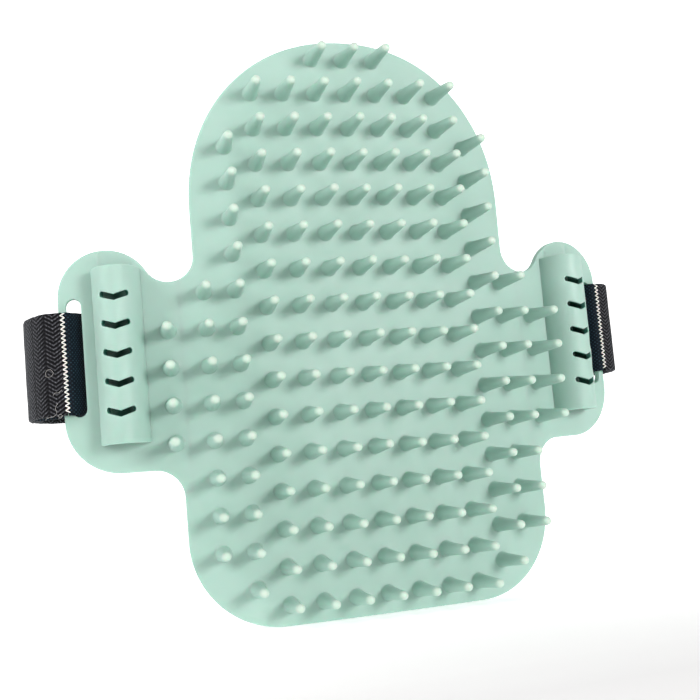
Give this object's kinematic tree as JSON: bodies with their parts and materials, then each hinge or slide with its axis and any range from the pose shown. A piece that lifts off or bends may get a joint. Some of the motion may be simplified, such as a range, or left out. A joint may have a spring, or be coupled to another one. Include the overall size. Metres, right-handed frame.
{
  "type": "pet grooming glove",
  "caption": "Hand-sized silicone grooming pad with rows of soft pins, two flexing side wings with vented arches, and a hook-and-loop hand strap.",
  "frame": {"origin": "middle of the palm sheet's back face, where the palm of the hand rests", "axes": "+X across the wings, +Y out of the back face towards the hand, +Z towards the fingers; the pins point to -Y"},
  "size_m": [0.1804, 0.0623, 0.1609],
  "materials": {
    "mint_silicone": "matte translucent silicone",
    "ribbed_webbing": "ribbed herringbone webbing",
    "slot_tape": "smooth brushed tape",
    "hook_tape": "moulded hooks",
    "loop_tape": "napped loops",
    "white_thread": "sewing thread"
  },
  "bodies": {
    "palm": {"palm_pad": "mint_silicone"},
    "left_flap": {"left_wing": "mint_silicone", "left_vent_arch": "mint_silicone"},
    "right_flap": {"right_wing": "mint_silicone", "right_vent_arch": "mint_silicone"},
    "left_strap": {"left_strap_band": "ribbed_webbing", "left_slot_tape": "slot_tape", "left_rim_seam": "white_thread", "left_rear_seam": "white_thread", "loop_patch": "loop_tape", "loop_patch_seam": "white_thread"},
    "right_strap": {"right_strap_band": "ribbed_webbing", "right_slot_tape": "slot_tape", "right_rim_seam": "white_thread", "right_rear_seam": "white_thread"},
    "tail": {"strap_tail_band": "ribbed_webbing", "hook_patch": "hook_tape", "hook_patch_seam": "white_thread"}
  },
  "joints": [
    {"name": "left_wing_flex", "type": "hinge", "parent": "palm", "child": "left_flap", "pos_m": [-0.05093, 0.0039, 0], "axis": [0, 0, -1], "range_deg": [0, 35], "stiffness_Nm_per_rad": 0.02},
    {"name": "right_wing_flex", "type": "hinge", "parent": "palm", "child": "right_flap", "pos_m": [0.05093, 0.0039, 0], "axis": [0, 0, 1], "range_deg": [0, 35], "stiffness_Nm_per_rad": 0.02},
    {"name": "left_strap_pivot", "type": "hinge", "parent": "left_flap", "child": "left_strap", "pos_m": [-0.08063, 0.01022, 0], "axis": [0, 0, 1], "range_deg": [0, 35]},
    {"name": "right_strap_pivot", "type": "hinge", "parent": "right_flap", "child": "right_strap", "pos_m": [0.08063, 0.01022, 0], "axis": [0, 0, -1], "range_deg": [0, 35]},
    {"name": "strap_tail_peel", "type": "hinge", "parent": "right_strap", "child": "tail", "pos_m": [0.02385, 0.04705, 0], "axis": [0, 0, -1], "range_deg": [0, 110]}
  ],
  "couplings": [
    {"joint": "right_wing_flex", "follows": "left_wing_flex", "ratio": 1},
    {"joint": "left_strap_pivot", "follows": "left_wing_flex", "ratio": 1},
    {"joint": "right_strap_pivot", "follows": "left_wing_flex", "ratio": 1}
  ]
}
